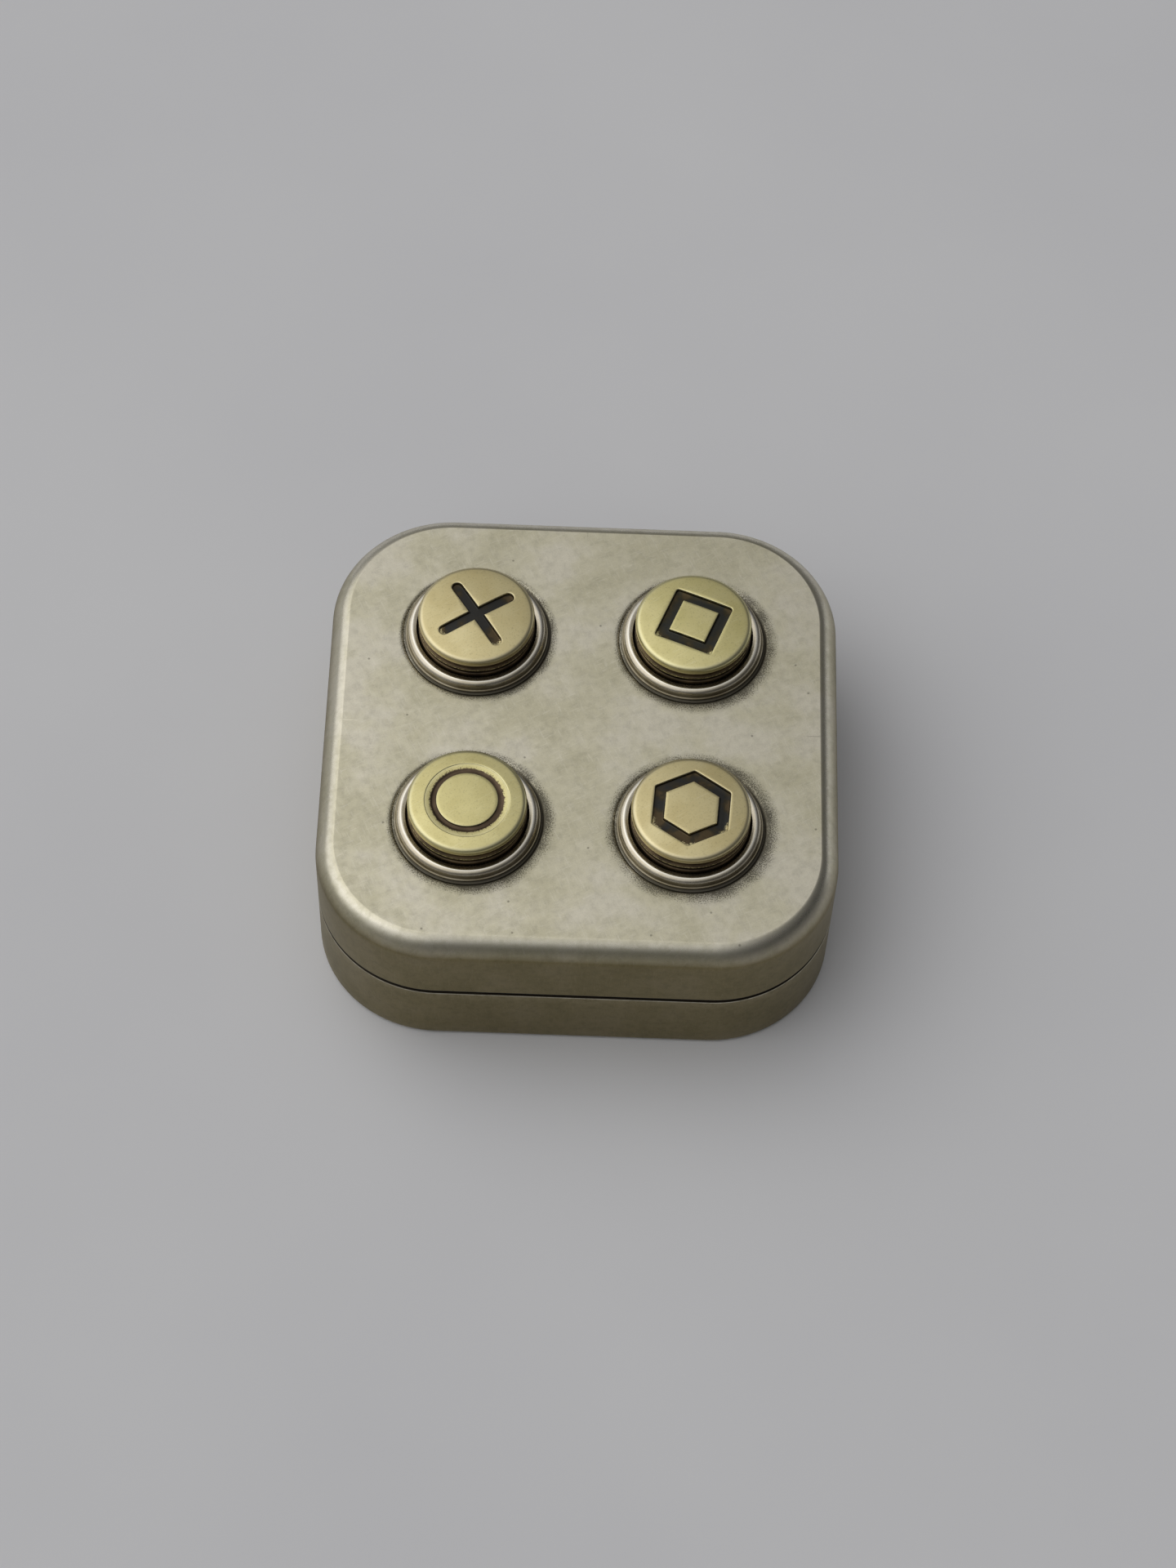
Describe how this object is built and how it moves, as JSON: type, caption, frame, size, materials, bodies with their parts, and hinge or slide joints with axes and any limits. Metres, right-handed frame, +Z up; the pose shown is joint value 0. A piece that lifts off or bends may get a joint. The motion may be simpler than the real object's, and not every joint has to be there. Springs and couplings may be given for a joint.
{
  "type": "push slider desk toy",
  "caption": "Square metal pocket slider in two halves held by magnets, with brass push buttons that spring back and turn in raised collars.",
  "frame": {"origin": "middle of the underside of the base half", "axes": "+Z up through the buttons, +X right along the slide, -Y towards the front wall the viewer sees"},
  "size_m": [0.04, 0.04, 0.0163],
  "materials": {
    "nickel_silver": "satin, aged nickel silver with dark patina",
    "collar_steel": "turned, polished rim",
    "button_brass_warm": "turned, satin",
    "button_brass_green": "turned, satin",
    "plate_steel": "ground",
    "magnet_plating": "bright nickel plating",
    "screw_steel": "black oxide",
    "spring_wire": "drawn wire",
    "acetal": "machined"
  },
  "bodies": {
    "base": {"base_shell": "nickel_silver", "track_plate": "plate_steel", "base_magnet_1": "magnet_plating", "base_magnet_2": "magnet_plating", "base_magnet_3": "magnet_plating", "base_magnet_4": "magnet_plating", "base_magnet_5": "magnet_plating", "base_magnet_6": "magnet_plating", "base_screw_1": "screw_steel", "base_screw_2": "screw_steel", "base_screw_3": "screw_steel", "base_screw_4": "screw_steel"},
    "slider": {"top_shell": "nickel_silver", "carrier_plate": "plate_steel", "top_magnet_1": "magnet_plating", "top_magnet_2": "magnet_plating", "top_magnet_3": "magnet_plating", "top_magnet_4": "magnet_plating", "top_magnet_5": "magnet_plating", "top_magnet_6": "magnet_plating", "top_screw_1": "screw_steel", "top_screw_2": "screw_steel", "top_screw_3": "screw_steel", "top_screw_4": "screw_steel", "guide_rail_rear": "acetal", "guide_rail_front": "acetal", "collar_plus": "collar_steel", "collar_square": "collar_steel", "collar_ring": "collar_steel", "collar_hexagon": "collar_steel", "spring_plus": "spring_wire", "spring_square": "spring_wire", "spring_ring": "spring_wire", "spring_hexagon": "spring_wire"},
    "washer_plus": {"washer_plus": "acetal"},
    "button_plus": {"button_plus": "button_brass_warm"},
    "washer_square": {"washer_square": "acetal"},
    "button_square": {"button_square": "button_brass_green"},
    "washer_ring": {"washer_ring": "acetal"},
    "button_ring": {"button_ring": "button_brass_green"},
    "washer_hexagon": {"washer_hexagon": "acetal"},
    "button_hexagon": {"button_hexagon": "button_brass_warm"}
  },
  "joints": [
    {"name": "slider_travel", "type": "slide", "parent": "base", "child": "slider", "axis": [1, 0, 0], "range_m": [-0.008, 0.008]},
    {"name": "press_plus", "type": "slide", "parent": "slider", "child": "washer_plus", "axis": [0, 0, -1], "range_m": [0, 0.0016], "stiffness_N_per_m": 600, "springref_m": -0.0006, "deforming": ["spring_plus"]},
    {"name": "turn_plus", "type": "hinge", "parent": "washer_plus", "child": "button_plus", "pos_m": [-0.0085, 0.0085, 0.0135], "axis": [0, 0, 1], "continuous": true},
    {"name": "press_square", "type": "slide", "parent": "slider", "child": "washer_square", "axis": [0, 0, -1], "range_m": [0, 0.0016], "stiffness_N_per_m": 600, "springref_m": -0.0006, "deforming": ["spring_square"]},
    {"name": "turn_square", "type": "hinge", "parent": "washer_square", "child": "button_square", "pos_m": [0.0085, 0.0085, 0.0135], "axis": [0, 0, 1], "continuous": true},
    {"name": "press_ring", "type": "slide", "parent": "slider", "child": "washer_ring", "axis": [0, 0, -1], "range_m": [0, 0.0016], "stiffness_N_per_m": 600, "springref_m": -0.0006, "deforming": ["spring_ring"]},
    {"name": "turn_ring", "type": "hinge", "parent": "washer_ring", "child": "button_ring", "pos_m": [-0.0085, -0.0085, 0.0135], "axis": [0, 0, 1], "continuous": true},
    {"name": "press_hexagon", "type": "slide", "parent": "slider", "child": "washer_hexagon", "axis": [0, 0, -1], "range_m": [0, 0.0016], "stiffness_N_per_m": 600, "springref_m": -0.0006, "deforming": ["spring_hexagon"]},
    {"name": "turn_hexagon", "type": "hinge", "parent": "washer_hexagon", "child": "button_hexagon", "pos_m": [0.0085, -0.0085, 0.0135], "axis": [0, 0, 1], "continuous": true}
  ]
}
